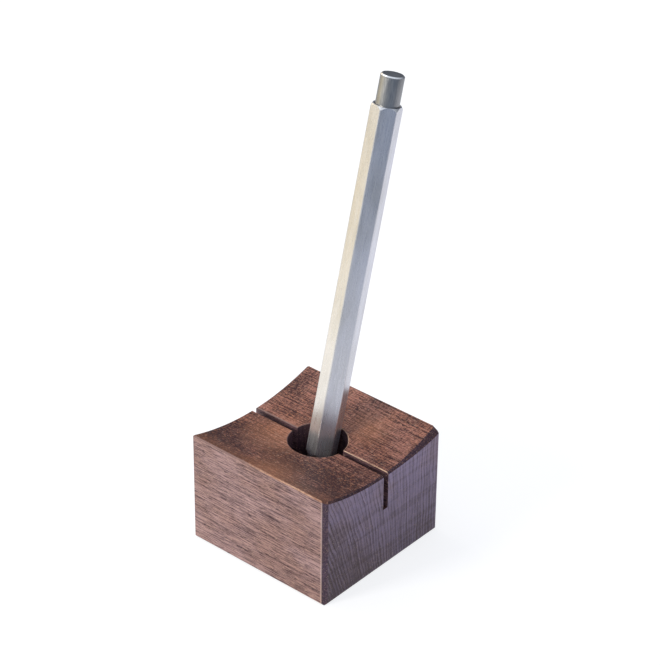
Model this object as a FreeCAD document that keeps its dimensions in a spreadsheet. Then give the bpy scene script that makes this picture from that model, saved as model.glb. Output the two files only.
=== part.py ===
import FreeCAD, Part
import os
import Sketcher

# A wooden pen and card stand with its own push-button pen.
# Frame: millimetres, origin at the centre of the block's underside, +X along the grain and the card
# slot, +Y to the back, +Z up. The pieces of the pen are drawn upright, with the snout's end at zero,
# and are then leaned back into the hole.

os.makedirs("parts", exist_ok=True)
doc = FreeCAD.newDocument("pen_stand")

# ----------------------------------------------------------------------------------------------
# Driving sizes: millimetres, and degrees where the name ends in _angle
# ----------------------------------------------------------------------------------------------

SIZES = {
    # the block
    "block_length": 50.0,  # along X
    "block_depth": 49.6,  # along Y
    "block_height": 35.4,  # at the front and back edges
    "scoop_depth": 3.9,  # how far the hollow top falls below those edges
    "edge_break": 0.6,  # chamfer on the block's edges
    "corner_bevel": 1.3,  # larger chamfer on the upright corner at the front right
    "hole_radius": 8.7,
    "hole_depth": 13.2,  # from the bottom of the hollow
    "hole_side": -0.3,  # the hole's centre, along X
    "slot_back": 1.03,  # the slot's and the hole's centre, along Y
    "slot_width": 2.0,
    "slot_depth": 11.75,  # from the bottom of the hollow
    "rim_break": 0.3,  # chamfer round the hole's mouth
    "pilot_room": 0.3,  # round the snout, in the small hole in the pen hole's floor
    "pilot_end_room": 1.4,  # below the writing tip when it is out
    # how the pen stands in the hole
    "foot_side": -0.79,  # the pen's axis at the floor, from the hole's centre, along X
    "foot_back": 0.45,  # the same along Y
    "swing_angle": -0.9,  # the lean's heading, turned from straight back
    "seat_gap": 0.25,  # under the nose's shoulder
    "rim_gap": 0.03,  # between the barrel's rear corner and the line of the hole's wall
    # the pen's outside
    "hex_flats": 8.0,  # across the barrel's flats
    "hex_turn_angle": 47.1,  # a corner of the hexagon, from the pen's own X
    "hex_rounding": 0.6,  # radius along the corners of the drawn bar
    "barrel_length": 104.85,
    "face_reach": 0.035,  # of the flat ring on the barrel's ends, beyond the flats
    "end_chamfer_angle": 60.0,  # of the turned ends of the barrel, from the end face
    "mouth_break": 0.15,  # chamfer inside the barrel's mouth
    "button_proud": 8.6,
    "button_length": 15.6,
    "button_break": 0.35,
    "nose_length": 9.5,  # snout and taper together
    "snout_length": 3.0,
    "snout_wall": 0.25,
    "snout_break": 0.25,  # height of the bevel outside the snout's end
    "snout_break_width": 0.1,
    "shoulder_width": 1.3,  # round the snout
    "shoulder_wall": 1.0,  # between the nose's shoulder and the spring's chamber
    "spigot_length": 6.0,
    # walls and steps inside the barrel
    "barrel_wall": 0.5,  # at the flats, round the mechanism
    "bore_step": 0.25,  # the lower bore is this much smaller in radius
    "sleeve_wall": 0.4,  # behind the grooves
    "rib_height": 0.55,
    "rib_width": 1.0,
    "rib_root": 0.5,  # how far a rib is let into its core
    "ring_lip": 0.4,  # how far the sleeve's top ring reaches in
    "ring_thick": 2.0,
    "sleeve_length": 11.5,
    "socket_depth": 8.0,  # the plunger's stem in the button
    "rotor_length": 6.0,
    "rotor_rib_length": 2.0,
    "rotor_socket_depth": 2.0,
    "tooth_depth": 1.0,
    "relief_radius": 0.6,  # of the blind hole in the middle of each ring of teeth
    "relief_depth": 2.0,
    "latch_travel": 4.0,  # where the rotor's ribs catch under the sleeve
    "over_travel": 1.5,  # from there to the bottom of the press
    # the refill and its spring
    "tip_recess": 0.8,  # the ball behind the snout's end
    "ball_radius": 0.4,
    "ball_gap": 0.02,  # between the ball and its seat
    "lip_reach": 0.14,  # of the tip's lip, past the middle of the ball
    "tip_radius": 1.15,
    "tip_taper_length": 2.4,
    "ink_bore_radius": 0.3,
    "collar_length": 1.0,  # of the tip's collar
    "shank_length": 3.5,  # of the tip and of the plug, inside the tube
    "refill_radius": 1.5,
    "refill_wall": 0.3,
    "plug_head_length": 1.5,
    "spring_length": 17.4,
    "wire_radius": 0.18,
    "spring_turns": 11.0,
    "stop_ring_length": 1.5,
    "stop_ring_reach": 0.3,  # beyond the middle of the spring's wire
    # clearances
    "running_gap": 0.1,  # radial, button in barrel and tip in snout
    "guide_gap": 0.08,  # radial, plunger and rotor in the sleeve
    "fixed_gap": 0.05,  # radial, pieces that are screwed or pressed together
    "end_gap": 0.3,  # endways, between pieces that only meet
    "spring_room": 0.32,  # round the outside of the spring
    "refill_room": 0.22,  # between the refill and the inside of the spring
    "collar_room": 0.7,  # below the tip's collar at the bottom of the press
    "groove_room": 0.15,  # each side of a rib in its groove
    "overrun": 1.0,  # how far a cutting outline runs past what it cuts
}

sheet = doc.addObject("Spreadsheet::Sheet", "Sizes")
for row, (alias, value) in enumerate(SIZES.items(), start=1):
    sheet.set(f"A{row}", alias)
    sheet.set(f"B{row}", str(value))
    sheet.setAlias(f"B{row}", alias)
doc.recompute()

# ----------------------------------------------------------------------------------------------
# Sizes that follow from them; names that end in _at are heights along the pen from the snout's end
# ----------------------------------------------------------------------------------------------

FITS = {
    # the block
    "half_length": "Sizes.block_length / 2",
    "half_depth": "Sizes.block_depth / 2",
    "hollow_level": "Sizes.block_height - Sizes.scoop_depth",
    "scoop_radius": "(Fits.half_depth ^ 2 + Sizes.scoop_depth ^ 2) / (2 * Sizes.scoop_depth)",
    "scoop_centre": "Fits.hollow_level + Fits.scoop_radius",
    "floor_level": "Fits.hollow_level - Sizes.hole_depth",
    "slot_level": "Fits.hollow_level - Sizes.slot_depth",
    "slot_front": "Sizes.slot_back - Sizes.slot_width / 2",
    "slot_rear": "Sizes.slot_back + Sizes.slot_width / 2",
    # the hexagon
    "point_radius": "Sizes.hex_flats / 2 / cos(30)",
    "corner_radius": "(Sizes.hex_flats / 2 - Sizes.hex_rounding) / cos(30) + Sizes.hex_rounding",
    "face_radius": "Sizes.hex_flats / 2 + Sizes.face_reach",
    "corner_swing": "Sizes.hex_turn_angle - 30",
    # the lean: the pen's foot stands at the floor and its rear corner lies at the hole's rim
    "rear_rim": "Sizes.slot_back + Sizes.hole_radius",
    "rim_level": "Fits.scoop_centre - sqrt(Fits.scoop_radius ^ 2 - Fits.rear_rim ^ 2)",
    "corner_side": "Sizes.foot_side - Fits.corner_radius * sin(Fits.corner_swing)",
    "corner_reach": "Fits.corner_radius * cos(Fits.corner_swing)",
    "corner_limit": "sqrt((Sizes.hole_radius - Sizes.rim_gap) ^ 2 - Fits.corner_side ^ 2)",
    "lean_rise": "Fits.rim_level - Fits.floor_level",
    "lean_start": "atan((Fits.corner_limit - Fits.corner_reach - Sizes.foot_back) / Fits.lean_rise)",
    "lean_run": "Fits.corner_limit - Fits.corner_reach / cos(Fits.lean_start) - Sizes.foot_back",
    "lean_angle": "atan(Fits.lean_run / Fits.lean_rise)",
    # the snout passes the tip, and its end has a place in the stand's frame
    "snout_bore_radius": "Sizes.tip_radius + Sizes.running_gap",
    "snout_radius": "Fits.snout_bore_radius + Sizes.snout_wall",
    "snout_face_radius": "Fits.snout_radius - Sizes.snout_break_width",
    "shoulder_radius": "Fits.snout_radius + Sizes.shoulder_width",
    "shoulder_dip": "Fits.shoulder_radius * sin(Fits.lean_angle)",
    "snout_fall": "Sizes.snout_length * cos(Fits.lean_angle)",
    "snout_above_floor": "Sizes.seat_gap + Fits.shoulder_dip - Fits.snout_fall",
    "snout_drift": "Fits.snout_above_floor * tan(Fits.lean_angle)",
    "snout_side": "Sizes.foot_side - Fits.snout_drift * sin(Sizes.swing_angle)",
    "snout_back": "Sizes.foot_back + Fits.snout_drift * cos(Sizes.swing_angle)",
    "snout_x": "Sizes.hole_side + Fits.snout_side",
    "snout_y": "Sizes.slot_back + Fits.snout_back",
    "snout_z": "Fits.floor_level + Fits.snout_above_floor",
    # the pilot hole takes the snout, and the tip when it is out
    "snout_offset": "sqrt(Fits.snout_side ^ 2 + Fits.snout_back ^ 2)",
    "pilot_radius": "Fits.snout_radius + Fits.snout_offset + Sizes.pilot_room",
    "click_travel": "Sizes.latch_travel + Sizes.over_travel",
    "tip_out": "Fits.click_travel - Sizes.tip_recess",
    "tip_out_level": "Fits.snout_z - Fits.tip_out * cos(Fits.lean_angle)",
    "pilot_depth": "Fits.floor_level - Fits.tip_out_level + Sizes.pilot_end_room",
    # radii inside the barrel
    "bore_radius": "Sizes.hex_flats / 2 - Sizes.barrel_wall",
    "lower_bore_radius": "Fits.bore_radius - Sizes.bore_step",
    "button_radius": "Fits.bore_radius - Sizes.running_gap",
    "sleeve_radius": "Fits.bore_radius - Sizes.fixed_gap",
    "groove_radius": "Fits.sleeve_radius - Sizes.sleeve_wall",
    "groove_half": "Sizes.rib_width / 2 + Sizes.groove_room",
    "rib_radius": "Fits.groove_radius - Sizes.running_gap",
    "sleeve_bore_radius": "Fits.groove_radius - Sizes.rib_height",
    "core_radius": "Fits.sleeve_bore_radius - Sizes.guide_gap",
    "ring_bore_radius": "Fits.sleeve_bore_radius - Sizes.ring_lip",
    "stem_radius": "Fits.ring_bore_radius - Sizes.running_gap",
    "stem_socket_radius": "Fits.stem_radius + Sizes.fixed_gap",
    "rotor_socket_radius": "Sizes.refill_radius + Sizes.running_gap",
    "tube_bore_radius": "Sizes.refill_radius - Sizes.refill_wall",
    "shank_radius": "Fits.tube_bore_radius - Sizes.fixed_gap",
    "spring_radius": "Sizes.refill_radius + Sizes.refill_room + Sizes.wire_radius",
    "stop_ring_radius": "Fits.spring_radius + Sizes.stop_ring_reach",
    "chamber_radius": "Fits.spring_radius + Sizes.wire_radius + Sizes.spring_room",
    "spigot_radius": "Fits.lower_bore_radius - Sizes.fixed_gap",
    "nose_radius": "Sizes.hex_flats / 2 - Sizes.fixed_gap",
    "stop_ring_bore_radius": "Sizes.refill_radius + Sizes.fixed_gap",
    "lip_radius": "Sizes.ball_radius + Sizes.fixed_gap",
    # the turned chamfers on the barrel's ends
    "chamfer_outside": "Fits.corner_radius + Sizes.overrun",
    "chamfer_fall": "(Fits.chamfer_outside - Fits.face_radius) * tan(Sizes.end_chamfer_angle)",
    # heights along the pen
    "barrel_foot_at": "Sizes.nose_length + Sizes.fixed_gap",
    "barrel_top_at": "Fits.barrel_foot_at + Sizes.barrel_length",
    "button_top_at": "Fits.barrel_top_at + Sizes.button_proud",
    "button_foot_at": "Fits.button_top_at - Sizes.button_length",
    "sleeve_top_at": "Fits.button_foot_at - Fits.click_travel - Sizes.end_gap",
    "sleeve_foot_at": "Fits.sleeve_top_at - Sizes.sleeve_length",
    "bore_step_at": "Fits.sleeve_foot_at - Sizes.fixed_gap",
    "groove_top_at": "Fits.sleeve_top_at - Sizes.ring_thick",
    "plunger_ribs_top_at": "Fits.groove_top_at - Sizes.end_gap",
    "stem_top_at": "Fits.button_foot_at + Sizes.socket_depth",
    "socket_top_at": "Fits.stem_top_at + Sizes.fixed_gap",
    "rotor_top_at": "Fits.sleeve_foot_at + Sizes.latch_travel",
    "rotor_relief_at": "Fits.rotor_top_at - Sizes.relief_depth",
    "rotor_ribs_foot_at": "Fits.rotor_top_at - Sizes.rotor_rib_length",
    "rotor_foot_at": "Fits.rotor_top_at - Sizes.rotor_length",
    "rotor_socket_at": "Fits.rotor_foot_at + Sizes.rotor_socket_depth",
    "plunger_foot_at": "Fits.rotor_top_at - Sizes.tooth_depth + Sizes.end_gap",
    "plunger_relief_at": "Fits.plunger_foot_at + Sizes.relief_depth",
    "plunger_ribs_foot_at": "Fits.rotor_top_at + Sizes.tooth_depth",
    "refill_top_at": "Fits.rotor_socket_at - Sizes.end_gap",
    "tube_top_at": "Fits.refill_top_at - Sizes.plug_head_length",
    "plug_head_at": "Fits.tube_top_at + Sizes.fixed_gap",
    "plug_foot_at": "Fits.tube_top_at - Sizes.shank_length",
    "ball_at": "Sizes.tip_recess + Sizes.ball_radius",
    "lip_at": "Fits.ball_at - Sizes.lip_reach",
    "tip_taper_at": "Sizes.tip_recess + Sizes.tip_taper_length",
    "chamber_floor_at": "Sizes.snout_length + Sizes.shoulder_wall",
    "tip_collar_at": "Fits.chamber_floor_at + Fits.click_travel + Sizes.collar_room",
    "tip_shank_at": "Fits.tip_collar_at + Sizes.collar_length",
    "tube_foot_at": "Fits.tip_shank_at + Sizes.fixed_gap",
    "tip_top_at": "Fits.tube_foot_at + Sizes.shank_length",
    "spigot_top_at": "Sizes.nose_length + Sizes.spigot_length",
    "spring_foot_at": "Fits.chamber_floor_at + Sizes.end_gap",
    "spring_wire_at": "Fits.spring_foot_at + Sizes.wire_radius",
    "spring_rise": "Sizes.spring_length - 2 * Sizes.wire_radius",
    "stop_ring_at": "Fits.spring_foot_at + Sizes.spring_length + Sizes.end_gap",
    "stop_ring_top_at": "Fits.stop_ring_at + Sizes.stop_ring_length",
}

fits = doc.addObject("App::VarSet", "Fits")
for name in FITS:
    fits.addProperty("App::PropertyFloat", name, "Fits")
for name, rule in FITS.items():
    fits.setExpression(name, rule)
doc.recompute()

RULED_SETTINGS = ("Length", "Angle", "Height", "Turns", "Radius", "Size")

# ----------------------------------------------------------------------------------------------
# Helpers. A rule is the text of an expression on the sizes above.
# ----------------------------------------------------------------------------------------------


def new_body(label):
    body = doc.addObject("PartDesign::Body", label)
    body.Label = label
    return body


def origin_feature(body, role):
    return next(item for item in body.Origin.OriginFeatures if item.Role == role)


def lie_on(item, body, role, lift=None):
    """Attaches a sketch or a primitive to an origin plane, lifted off it by a rule."""
    item.AttachmentSupport = [(origin_feature(body, role), "")]
    item.MapMode = "FlatFace"
    if lift:
        item.setExpression("AttachmentOffset.Base.z", lift)
    doc.recompute()


def new_sketch(body, name, role, lift=None):
    sketch = body.newObject("Sketcher::SketchObject", name)
    lie_on(sketch, body, role, lift)
    return sketch


def number(sketch, rule):
    value = sketch.evalExpression(rule)
    return float(getattr(value, "Value", value))


def pin(sketch, constraint, rule):
    """Adds a constraint whose size is a rule."""
    which = sketch.addConstraint(constraint)
    sketch.setExpression(f"Constraints[{which}]", rule)


def pin_point(sketch, geometry, corner, x, y):
    """Ties a point of the sketch to its origin by a pair of rules."""
    for kind, rule in (("DistanceX", x), ("DistanceY", y)):
        pin(sketch, Sketcher.Constraint(kind, -1, 1, geometry, corner, number(sketch, rule)), rule)


def add_polygon(sketch, points):
    """A closed outline through points that are pairs of rules."""
    places = [FreeCAD.Vector(number(sketch, x), number(sketch, y), 0) for x, y in points]
    lines = [sketch.addGeometry(Part.LineSegment(start, end))
             for start, end in zip(places, places[1:] + places[:1])]
    for line, previous, (x, y) in zip(lines, lines[-1:] + lines[:-1], points):
        sketch.addConstraint(Sketcher.Constraint("Coincident", previous, 2, line, 1))
        pin_point(sketch, line, 1, x, y)


def add_circle(sketch, x, y, radius):
    """A circle from rules for its centre and radius."""
    centre = FreeCAD.Vector(number(sketch, x), number(sketch, y), 0)
    size = number(sketch, radius)
    circle = sketch.addGeometry(Part.Circle(centre, FreeCAD.Vector(0, 0, 1), size))
    pin_point(sketch, circle, 3, x, y)
    pin(sketch, Sketcher.Constraint("Radius", circle, size), radius)


def rectangle(x_low, x_high, y_low, y_high):
    return [(x_low, y_low), (x_high, y_low), (x_high, y_high), (x_low, y_high)]


def feature(body, kind, name, **settings):
    """A feature of a body; the settings that are sizes are given as rules."""
    made = body.newObject(f"PartDesign::{kind}", name)
    for setting, value in settings.items():
        if setting in RULED_SETTINGS:
            made.setExpression(setting, value)
        else:
            setattr(made, setting, value)
    doc.recompute()
    return made


def cut(body, kind, name, **settings):
    """A feature that has to take material away."""
    before = body.Shape.Volume
    made = feature(body, kind, name, **settings)
    if not body.Shape.Volume < before:
        raise RuntimeError(f"{body.Label}: {name} cuts nothing")
    return made


def turn(body, name, points):
    """A solid of revolution about the body's Z axis, from (radius, height) rules."""
    sketch = new_sketch(body, f"{name}Profile", "XZ_Plane")
    add_polygon(sketch, points)
    return feature(body, "Revolution", name, Profile=sketch,
                   ReferenceAxis=(origin_feature(body, "Z_Axis"), [""]), Angle="360")


def turn_away(body, name, points):
    """The same, taken away."""
    sketch = new_sketch(body, f"{name}Profile", "XZ_Plane")
    add_polygon(sketch, points)
    return cut(body, "Groove", name, Profile=sketch,
               ReferenceAxis=(origin_feature(body, "Z_Axis"), [""]), Angle="360")


def copy_round(body, name, original, count, whole_angle=360):
    """Copies of a feature round the body's Z axis; over less than a full turn both ends count."""
    pattern = body.newObject("PartDesign::PolarPattern", name)
    pattern.Originals = [original]
    pattern.Axis = (origin_feature(body, "Z_Axis"), [""])
    pattern.Angle = whole_angle
    pattern.Occurrences = count
    body.Tip = pattern
    doc.recompute()


def edges_where(body, chosen):
    """The edges of a body that pass a test."""
    base = body.Tip
    return base, [f"Edge{count}" for count, edge in enumerate(base.Shape.Edges, start=1) if chosen(edge)]


def chamfer_where(body, name, chosen, size):
    feature(body, "Chamfer", name, Base=edges_where(body, chosen), Size=size)


def lean_back(body):
    """Stands a piece of the pen in its hole."""
    body.setExpression(
        "Placement",
        "placement(vector(Fits.snout_x; Fits.snout_y; Fits.snout_z);"
        " rotation(Sizes.swing_angle; 0; -Fits.lean_angle))")


# ----------------------------------------------------------------------------------------------
# stand_block: one piece of hardwood with a hollow top, a pen hole and a card slot
# ----------------------------------------------------------------------------------------------


def is_front_right_corner(edge):
    middle = edge.CenterOfMass
    upright = max(edge.BoundBox.XLength, edge.BoundBox.YLength) < sheet.get("edge_break") / 10
    return upright and middle.x > 0 > middle.y


def is_hole_mouth(edge):
    across = edge.BoundBox.XLength - 2 * sheet.get("hole_radius")
    return abs(across) < sheet.get("rim_break") and edge.BoundBox.ZMax > fits.hollow_level


block = new_body("stand_block")
plan = new_sketch(block, "Plan", "XY_Plane")
add_polygon(plan, rectangle(
    "-Fits.half_length", "Fits.half_length", "-Fits.half_depth", "Fits.half_depth"))
feature(block, "Pad", "Blank", Profile=plan, Length="Sizes.block_height")

scoop = new_sketch(block, "ScoopSection", "YZ_Plane")
add_circle(scoop, "0", "Fits.scoop_centre", "Fits.scoop_radius")
cut(block, "Pocket", "Scoop", Profile=scoop, Type="ThroughAll", Midplane=True)

chamfer_where(block, "CornerBevel", is_front_right_corner, "Sizes.corner_bevel")
chamfer_where(block, "EdgeBreak", lambda edge: not is_front_right_corner(edge), "Sizes.edge_break")

mouth = new_sketch(block, "PenHolePlan", "XY_Plane", "Fits.floor_level")
add_circle(mouth, "Sizes.hole_side", "Sizes.slot_back", "Sizes.hole_radius")
cut(block, "Pocket", "PenHole", Profile=mouth, Type="ThroughAll", Reversed=True)
chamfer_where(block, "RimBreak", is_hole_mouth, "Sizes.rim_break")

pilot = new_sketch(block, "PilotPlan", "XY_Plane", "Fits.floor_level")
add_circle(pilot, "Sizes.hole_side", "Sizes.slot_back", "Fits.pilot_radius")
cut(block, "Pocket", "PilotHole", Profile=pilot, Length="Fits.pilot_depth")

kerf = new_sketch(block, "CardSlotSection", "YZ_Plane")
add_polygon(kerf, rectangle(
    "Fits.slot_front", "Fits.slot_rear", "Fits.slot_level", "Sizes.block_height + Sizes.overrun"))
cut(block, "Pocket", "CardSlot", Profile=kerf, Type="ThroughAll", Midplane=True)

# ----------------------------------------------------------------------------------------------
# hex_barrel: hexagonal steel tube, bored in two steps, with both ends turned
# ----------------------------------------------------------------------------------------------


def is_lengthways(edge):
    return edge.BoundBox.ZLength > sheet.get("barrel_length") / 2


barrel = new_body("hex_barrel")
hexagon = new_sketch(barrel, "Hexagon", "XY_Plane", "Fits.barrel_foot_at")
add_polygon(hexagon, [
    (f"Fits.point_radius * cos(Sizes.hex_turn_angle + {step})",
     f"Fits.point_radius * sin(Sizes.hex_turn_angle + {step})") for step in range(0, 360, 60)])
feature(barrel, "Pad", "Bar", Profile=hexagon, Length="Sizes.barrel_length")
feature(barrel, "Fillet", "CornerRounding", Base=edges_where(barrel, is_lengthways),
        Radius="Sizes.hex_rounding")

turn_away(barrel, "TopChamfer", [
    ("Fits.face_radius", "Fits.barrel_top_at"),
    ("Fits.chamfer_outside", "Fits.barrel_top_at"),
    ("Fits.chamfer_outside", "Fits.barrel_top_at - Fits.chamfer_fall")])
turn_away(barrel, "FootChamfer", [
    ("Fits.face_radius", "Fits.barrel_foot_at"),
    ("Fits.chamfer_outside", "Fits.barrel_foot_at + Fits.chamfer_fall"),
    ("Fits.chamfer_outside", "Fits.barrel_foot_at")])
turn_away(barrel, "Bore", [
    ("0", "Fits.barrel_foot_at - Sizes.overrun"),
    ("Fits.lower_bore_radius", "Fits.barrel_foot_at - Sizes.overrun"),
    ("Fits.lower_bore_radius", "Fits.bore_step_at"),
    ("Fits.bore_radius", "Fits.bore_step_at"),
    ("Fits.bore_radius", "Fits.barrel_top_at - Sizes.mouth_break"),
    ("Fits.bore_radius + Sizes.mouth_break", "Fits.barrel_top_at"),
    ("Fits.bore_radius + Sizes.mouth_break", "Fits.barrel_top_at + Sizes.overrun"),
    ("0", "Fits.barrel_top_at + Sizes.overrun")])
lean_back(barrel)

# ----------------------------------------------------------------------------------------------
# nose_cone: tapered nose with a snout for the pilot hole and a spigot for the barrel
# ----------------------------------------------------------------------------------------------

nose = new_body("nose_cone")
turn(nose, "Nose", [
    ("Fits.snout_bore_radius", "0"),
    ("Fits.snout_face_radius", "0"),
    ("Fits.snout_radius", "Sizes.snout_break"),
    ("Fits.snout_radius", "Sizes.snout_length"),
    ("Fits.shoulder_radius", "Sizes.snout_length"),
    ("Fits.nose_radius", "Sizes.nose_length"),
    ("Fits.spigot_radius", "Sizes.nose_length"),
    ("Fits.spigot_radius", "Fits.spigot_top_at"),
    ("Fits.chamber_radius", "Fits.spigot_top_at"),
    ("Fits.chamber_radius", "Fits.chamber_floor_at"),
    ("Fits.snout_bore_radius", "Fits.chamber_floor_at")])
lean_back(nose)

# ----------------------------------------------------------------------------------------------
# push_button: turned steel cap with a socket for the plunger's stem
# ----------------------------------------------------------------------------------------------

button = new_body("push_button")
turn(button, "Button", [
    ("Fits.stem_socket_radius", "Fits.button_foot_at"),
    ("Fits.button_radius", "Fits.button_foot_at"),
    ("Fits.button_radius", "Fits.button_top_at - Sizes.button_break"),
    ("Fits.button_radius - Sizes.button_break", "Fits.button_top_at"),
    ("0", "Fits.button_top_at"),
    ("0", "Fits.socket_top_at"),
    ("Fits.stem_socket_radius", "Fits.socket_top_at")])
lean_back(button)

# ----------------------------------------------------------------------------------------------
# The click mechanism: ribs run in the sleeve's grooves, and teeth on the plunger turn the rotor
# ----------------------------------------------------------------------------------------------

RIB_COUNT = 4
TOOTH_COUNT = 8
TOOTH_HALF_WIDTH = f"Fits.core_radius * sin(180 / {TOOTH_COUNT})"


def add_ribs(body, low, high):
    """Upright ribs round a core, between two heights."""
    plan = new_sketch(body, "RibPlan", "XY_Plane", low)
    add_polygon(plan, rectangle(
        "Fits.core_radius - Sizes.rib_root", "Fits.rib_radius",
        "-Sizes.rib_width / 2", "Sizes.rib_width / 2"))
    rib = feature(body, "Pad", "Rib", Profile=plan, Length=f"{high} - {low}")
    copy_round(body, "Ribs", rib, RIB_COUNT)


def cut_teeth(body, level, outward, first_turn):
    """V cuts straight across an end of a body, which leave a ring of pointed teeth."""
    inward = {"+": "-", "-": "+"}[outward]
    section = new_sketch(body, "NotchSection", "XZ_Plane")
    section.AttachmentOffset = FreeCAD.Placement(
        FreeCAD.Vector(), FreeCAD.Rotation(FreeCAD.Vector(0, 1, 0), first_turn))
    add_polygon(section, [
        (f"-2 * {TOOTH_HALF_WIDTH}", f"{level} {outward} Sizes.tooth_depth"),
        (f"2 * {TOOTH_HALF_WIDTH}", f"{level} {outward} Sizes.tooth_depth"),
        ("0", f"{level} {inward} Sizes.tooth_depth")])
    notch = cut(body, "Pocket", "Notch", Profile=section, Type="ThroughAll", Midplane=True)
    copy_round(body, "Notches", notch, TOOTH_COUNT // 2, 180 - 360 / TOOTH_COUNT)


# plunger: stem, ribs and a toothed foot
plunger = new_body("plunger")
turn(plunger, "Core", [
    ("0", "Fits.plunger_relief_at"),
    ("Sizes.relief_radius", "Fits.plunger_relief_at"),
    ("Sizes.relief_radius", "Fits.plunger_foot_at"),
    ("Fits.core_radius", "Fits.plunger_foot_at"),
    ("Fits.core_radius", "Fits.plunger_ribs_top_at"),
    ("Fits.stem_radius", "Fits.plunger_ribs_top_at"),
    ("Fits.stem_radius", "Fits.stem_top_at"),
    ("0", "Fits.stem_top_at")])
add_ribs(plunger, "Fits.plunger_ribs_foot_at", "Fits.plunger_ribs_top_at")
cut_teeth(plunger, "Fits.plunger_foot_at", "-", 0)
lean_back(plunger)

# cam_rotor: toothed top, short ribs that latch under the sleeve, and a socket for the refill
rotor = new_body("cam_rotor")
turn(rotor, "Core", [
    ("Fits.rotor_socket_radius", "Fits.rotor_foot_at"),
    ("Fits.core_radius", "Fits.rotor_foot_at"),
    ("Fits.core_radius", "Fits.rotor_top_at"),
    ("Sizes.relief_radius", "Fits.rotor_top_at"),
    ("Sizes.relief_radius", "Fits.rotor_relief_at"),
    ("0", "Fits.rotor_relief_at"),
    ("0", "Fits.rotor_socket_at"),
    ("Fits.rotor_socket_radius", "Fits.rotor_socket_at")])
add_ribs(rotor, "Fits.rotor_ribs_foot_at", "Fits.rotor_top_at")
cut_teeth(rotor, "Fits.rotor_top_at", "+", 180 / TOOTH_COUNT)
lean_back(rotor)

# guide_sleeve: grooved sleeve with a ring at its top that keeps the plunger in
sleeve = new_body("guide_sleeve")
turn(sleeve, "Sleeve", [
    ("Fits.sleeve_bore_radius", "Fits.sleeve_foot_at"),
    ("Fits.sleeve_radius", "Fits.sleeve_foot_at"),
    ("Fits.sleeve_radius", "Fits.sleeve_top_at"),
    ("Fits.ring_bore_radius", "Fits.sleeve_top_at"),
    ("Fits.ring_bore_radius", "Fits.groove_top_at"),
    ("Fits.sleeve_bore_radius", "Fits.groove_top_at")])
groove_plan = new_sketch(sleeve, "GroovePlan", "XY_Plane", "Fits.groove_top_at")
add_polygon(groove_plan, rectangle(
    "0", "Fits.groove_radius", "-Fits.groove_half", "Fits.groove_half"))
groove = cut(sleeve, "Pocket", "Groove", Profile=groove_plan, Length="Sizes.sleeve_length")
copy_round(sleeve, "Grooves", groove, RIB_COUNT)
lean_back(sleeve)

# ----------------------------------------------------------------------------------------------
# The refill: tube, plug, stop ring, writing tip and its ball
# ----------------------------------------------------------------------------------------------

tube = new_body("refill_tube")
turn(tube, "Tube", [
    ("Fits.tube_bore_radius", "Fits.tube_foot_at"),
    ("Sizes.refill_radius", "Fits.tube_foot_at"),
    ("Sizes.refill_radius", "Fits.tube_top_at"),
    ("Fits.tube_bore_radius", "Fits.tube_top_at")])
lean_back(tube)

plug = new_body("end_plug")
turn(plug, "Plug", [
    ("0", "Fits.plug_foot_at"),
    ("Fits.shank_radius", "Fits.plug_foot_at"),
    ("Fits.shank_radius", "Fits.plug_head_at"),
    ("Sizes.refill_radius", "Fits.plug_head_at"),
    ("Sizes.refill_radius", "Fits.refill_top_at"),
    ("0", "Fits.refill_top_at")])
lean_back(plug)

stop_ring = new_body("spring_collar")
turn(stop_ring, "StopRing", rectangle(
    "Fits.stop_ring_bore_radius", "Fits.stop_ring_radius",
    "Fits.stop_ring_at", "Fits.stop_ring_top_at"))
lean_back(stop_ring)

tip = new_body("refill_tip")
turn(tip, "Tip", [
    ("0", "Fits.lip_at"),
    ("Fits.lip_radius", "Fits.lip_at"),
    ("Sizes.tip_radius", "Fits.tip_taper_at"),
    ("Sizes.tip_radius", "Fits.tip_collar_at"),
    ("Sizes.refill_radius", "Fits.tip_collar_at"),
    ("Sizes.refill_radius", "Fits.tip_shank_at"),
    ("Fits.shank_radius", "Fits.tip_shank_at"),
    ("Fits.shank_radius", "Fits.tip_top_at"),
    ("0", "Fits.tip_top_at")])
turn_away(tip, "InkBore", rectangle(
    "0", "Sizes.ink_bore_radius", "Fits.ball_at", "Fits.tip_top_at + Sizes.overrun"))
seat = feature(tip, "SubtractiveSphere", "BallSeat", Radius="Sizes.ball_radius + Sizes.ball_gap")
lie_on(seat, tip, "XY_Plane", "Fits.ball_at")
lean_back(tip)

ball = new_body("writing_ball")
sphere = feature(ball, "AdditiveSphere", "Ball", Radius="Sizes.ball_radius")
lie_on(sphere, ball, "XY_Plane", "Fits.ball_at")
lean_back(ball)

# ----------------------------------------------------------------------------------------------
# return_spring: round wire coiled between the nose's inner floor and the stop ring
# ----------------------------------------------------------------------------------------------

spring = new_body("return_spring")
wire = new_sketch(spring, "WireSection", "XZ_Plane")
add_circle(wire, "Fits.spring_radius", "Fits.spring_wire_at", "Sizes.wire_radius")
feature(spring, "AdditiveHelix", "Coil", Profile=wire, Mode="height-turns-angle",
        ReferenceAxis=(origin_feature(spring, "Z_Axis"), [""]),
        Height="Fits.spring_rise", Turns="Sizes.spring_turns")
lean_back(spring)

# ----------------------------------------------------------------------------------------------
# Check every object, then write each piece
# ----------------------------------------------------------------------------------------------

doc.recompute()
for item in doc.Objects:
    if "Invalid" in item.State or "Error" in item.State:
        raise RuntimeError(f"{item.Label} is {item.State}")

bodies = [item for item in doc.Objects if item.TypeId == "PartDesign::Body"]
for body in bodies:
    if body.Shape.isNull() or not body.Shape.isValid():
        raise RuntimeError(f"{body.Label} has no valid shape")

for body in bodies:
    body.Shape.exportStep(f"parts/{body.Label}.step")
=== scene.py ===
import math
import bmesh
import bpy
from mathutils import Euler, Matrix, Vector


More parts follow.
